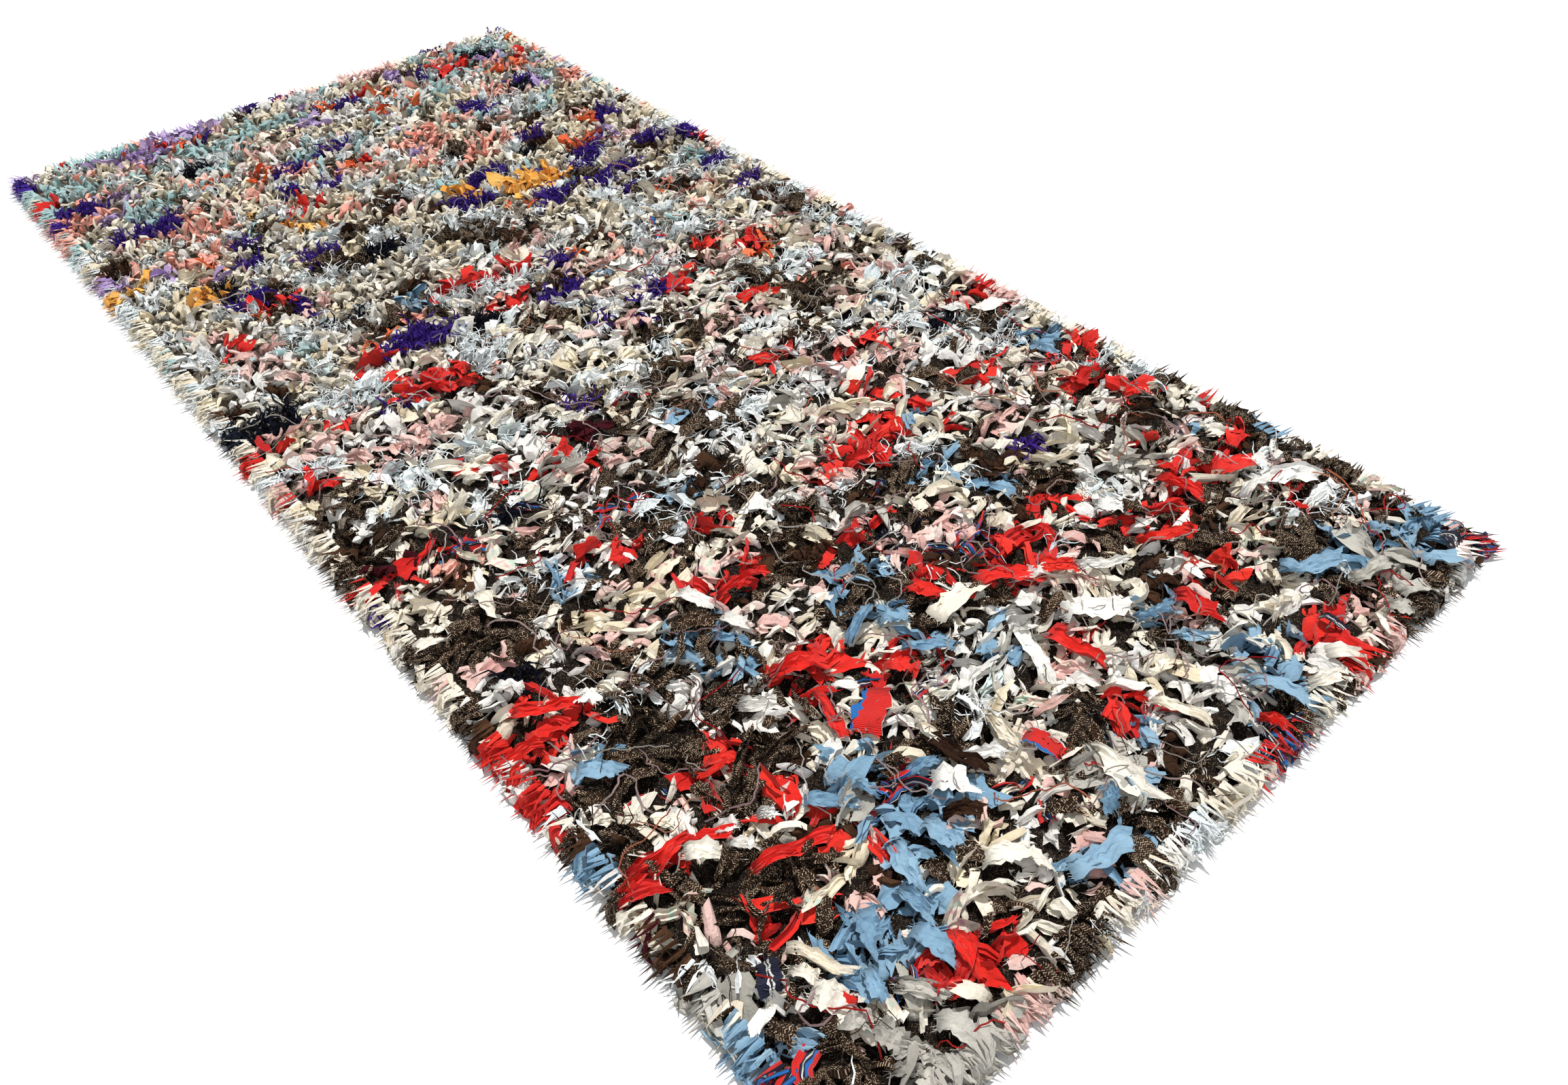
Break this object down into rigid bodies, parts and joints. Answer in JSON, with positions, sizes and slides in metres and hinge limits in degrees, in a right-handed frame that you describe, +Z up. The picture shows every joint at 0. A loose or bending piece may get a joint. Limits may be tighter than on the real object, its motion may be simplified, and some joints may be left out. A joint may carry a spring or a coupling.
{
  "type": "boucherouite rug",
  "caption": "Rectangular shaggy rag rug: a woven ground cloth with a deep uneven pile of knotted rag strips and pointed locks round its rim, lying flat.",
  "frame": {"origin": "on the surface that the rug lies on, below the middle of the rug", "axes": "+X across the rug along its weft, +Y along its warp from the near end of the picture to the far end, +Z up out of the pile"},
  "size_m": [1.4, 2.91, 0.0582],
  "materials": {
    "ground_weave": "coarse plain weave of undyed wool and cotton, matte",
    "rag_strips": "mixed rag strips: cream and white cotton, brown and white marled knit, red and light blue cotton, pink jersey, pale gauze, violet yarn, matte"
  },
  "bodies": {
    "root": {"woven_ground": "ground_weave", "rag_pile": "rag_strips"}
  },
  "joints": []
}
